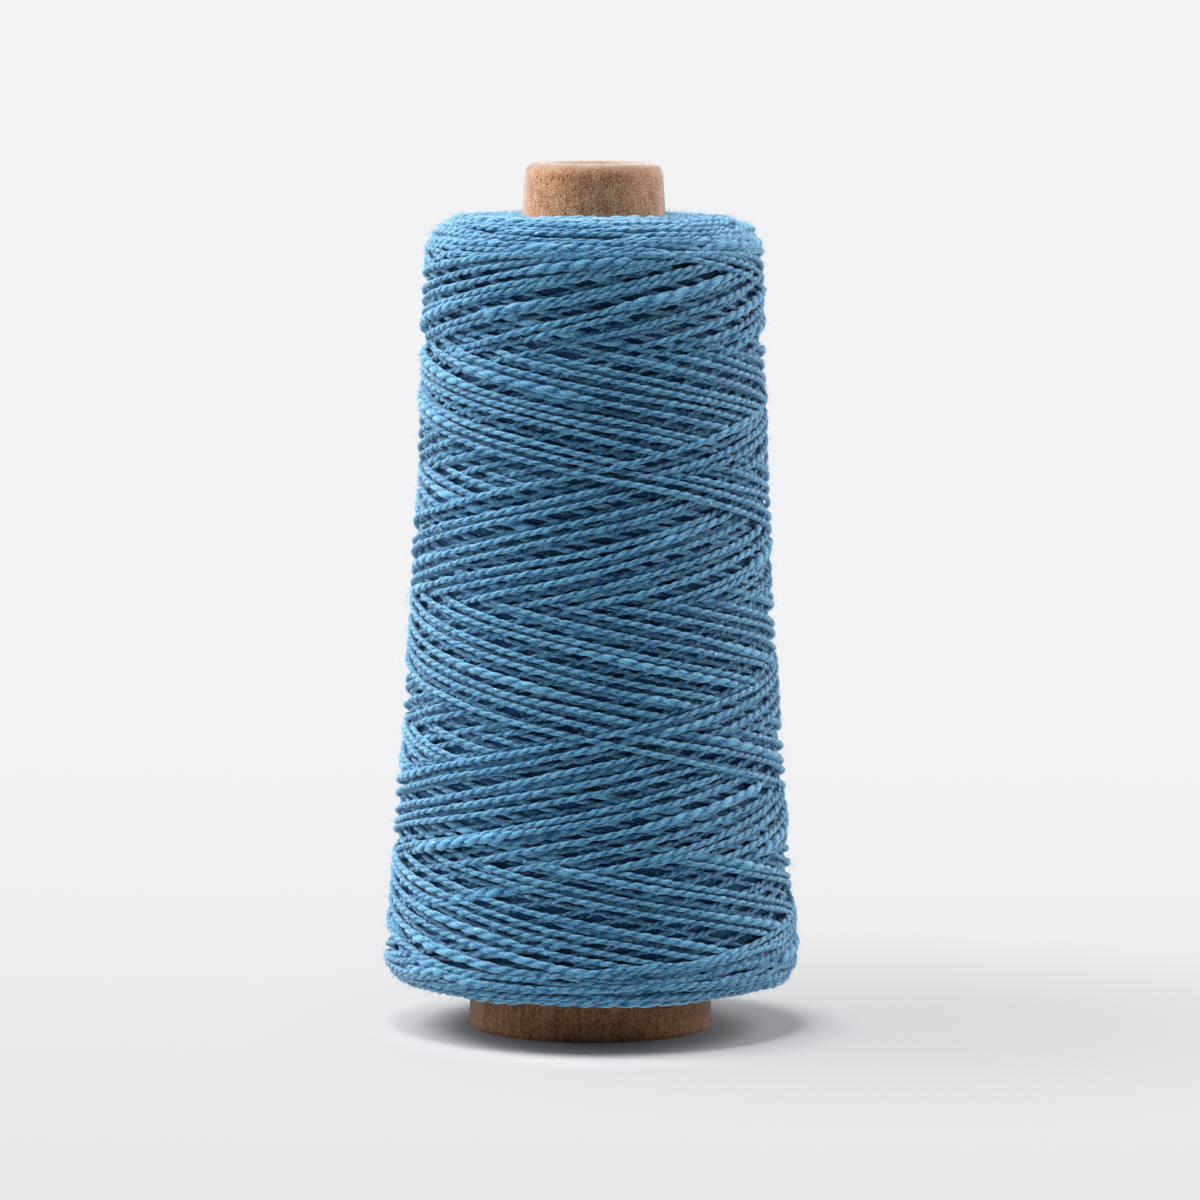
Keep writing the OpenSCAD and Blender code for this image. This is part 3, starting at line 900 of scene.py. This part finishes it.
def floor_material():
    """Matt paper sweep: it takes the cone's shadow close by and is backdrop further off, drawn with a
    painted shadow beside the cone and a painted falloff towards the front.
    """
    made, tree = new_material("studio_floor")
    place = add(tree, "ShaderNodeTexCoord").outputs["Object"]
    split = add(tree, "ShaderNodeSeparateXYZ", Vector=place)
    back = add(tree, "ShaderNodeMapRange", Value=split.outputs["Y"], From_Min=FLOOR_NEAR,
               From_Max=FLOOR_FAR)
    # painted falloff of the light: darker at the front, brighter further back
    stops = [(at, linear(code)) for at, code in FLOOR_PAINTED_FALLOFF]
    shade = add(tree, "ShaderNodeValToRGB", {"stops": stops}, Fac=back)
    # painted shadow: the backdrop is drawn darker in a broad soft patch to the right of the cone
    from_painted_shadow = add(tree, "ShaderNodeVectorMath", {"operation": "DISTANCE"}, i0=place,
                i1=PAINTED_SHADOW_CENTRE).outputs["Value"]
    painted_shadow = add(tree, "ShaderNodeMapRange", {"interpolation_type": "SMOOTHSTEP"}, Value=from_painted_shadow,
                From_Min=0.0, From_Max=PAINTED_SHADOW_RADIUS, To_Min=PAINTED_SHADOW_STRENGTH, To_Max=0.0)
    shade = add(tree, "ShaderNodeMix", {"data_type": "RGBA"}, i0=painted_shadow, i6=shade,
                i7=linear(PAINTED_SHADOW_COLOUR))
    away = add(tree, "ShaderNodeVectorMath", {"operation": "DISTANCE"}, i0=place,
               i1=SHADOW_CENTRE).outputs["Value"]
    clear = add(tree, "ShaderNodeMapRange", {"interpolation_type": "SMOOTHSTEP"}, Value=away,
                From_Min=SHADOW_RING[0], From_Max=SHADOW_RING[1])
    mask = add(tree, "ShaderNodeMath", {"operation": "MULTIPLY"}, i0=clear, i1=seen_rays(tree))
    lit = add(tree, "ShaderNodeBsdfDiffuse", Color=linear(FLOOR))
    glow = add(tree, "ShaderNodeEmission", Color=shade.outputs[2], Strength=1.0)
    mix = add(tree, "ShaderNodeMixShader", i0=mask, i1=lit, i2=glow)
    add(tree, "ShaderNodeOutputMaterial", Surface=mix)
    return made


corners = [
    (-FLOOR_SIDE, FLOOR_FRONT, 0),
    (FLOOR_SIDE, FLOOR_FRONT, 0),
    (FLOOR_SIDE, FLOOR_BACK, 0),
    (-FLOOR_SIDE, FLOOR_BACK, 0),
]
floor = mesh_object("studio_floor", corners, [(0, 1, 2, 3)], floor_material())

world = bpy.data.worlds.new("studio_world")
bpy.context.scene.world = world
world.use_nodes = True
tree = world.node_tree
tree.nodes.clear()
fill = add(tree, "ShaderNodeBackground", Color=linear(BACKDROP), Strength=FILL)
shown = add(tree, "ShaderNodeBackground", Color=linear(BACKDROP), Strength=1.0)
mix = add(tree, "ShaderNodeMixShader", i0=seen_rays(tree), i1=fill, i2=shown)
add(tree, "ShaderNodeOutputWorld", Surface=mix)

for name, (place, width, height, power) in SOFTBOXES.items():
    light = bpy.data.lights.new(name, "AREA")
    light.shape = "RECTANGLE"
    light.size = width
    light.size_y = height
    light.energy = power
    softbox = bpy.data.objects.new(name, light)
    softbox.location = place
    softbox.rotation_euler = (Vector(AIM) - Vector(place)).to_track_quat("-Z", "Y").to_euler()
    bpy.context.collection.objects.link(softbox)

lens = bpy.data.cameras.new("camera")
lens.lens = CAMERA_LENS
lens.sensor_width = SENSOR_WIDTH
lens.shift_x = SHIFT / FRAME_WIDTH
lens.clip_end = CLIP_END
camera = bpy.data.objects.new("camera", lens)
camera.location = CAMERA_PLACE
camera.rotation_euler = (math.radians(90 - CAMERA_DOWN), CAMERA_ROLL, 0)
bpy.context.collection.objects.link(camera)
bpy.context.scene.camera = camera
bpy.context.scene.view_settings.view_transform = "Standard"
